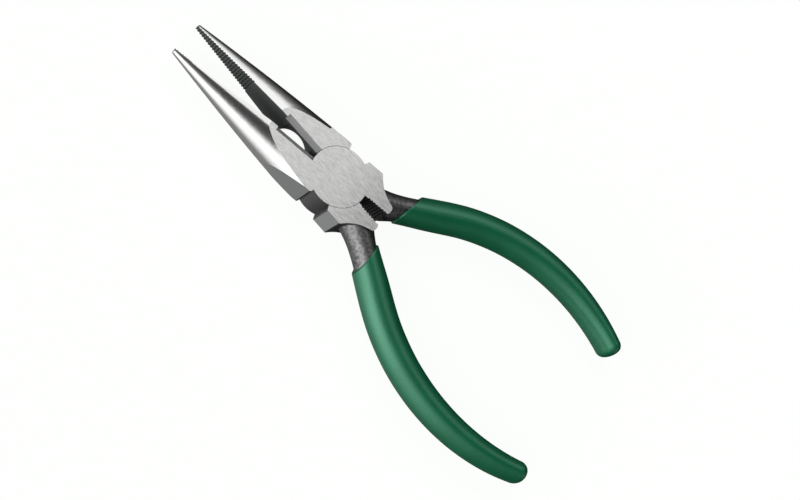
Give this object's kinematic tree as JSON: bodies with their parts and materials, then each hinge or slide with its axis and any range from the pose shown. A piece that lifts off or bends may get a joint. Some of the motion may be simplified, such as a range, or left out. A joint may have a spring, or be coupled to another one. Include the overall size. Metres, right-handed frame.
{
  "type": "needle nose pliers",
  "caption": "Long-nose pliers with a lap joint, toothed tapering jaws, side cutter, small rear jaws and slip-on sleeves on bowed handles.",
  "frame": {"origin": "pivot axis where it meets the ground back face of the head", "axes": "+X midway between the two nose jaws towards their tips, +Z along the pivot axis out of the front face of the head, +Y towards the outer side of the front half's nose jaw"},
  "size_m": [0.1518, 0.0664, 0.011],
  "materials": {
    "tool_steel": "ground faces, polished nose, black forged necks",
    "rivet_steel": "ground flush",
    "green_vinyl": "satin, smooth"
  },
  "bodies": {
    "front": {"front_half": "tool_steel", "pivot_rivet": "rivet_steel", "front_grip": "green_vinyl"},
    "back": {"back_half": "tool_steel", "back_grip": "green_vinyl"}
  },
  "joints": [
    {"name": "jaw_pivot", "type": "hinge", "parent": "front", "child": "back", "pos_m": [0, 0, 0.0055], "axis": [0, 0, -1], "range_deg": [-9.4, 38]}
  ]
}
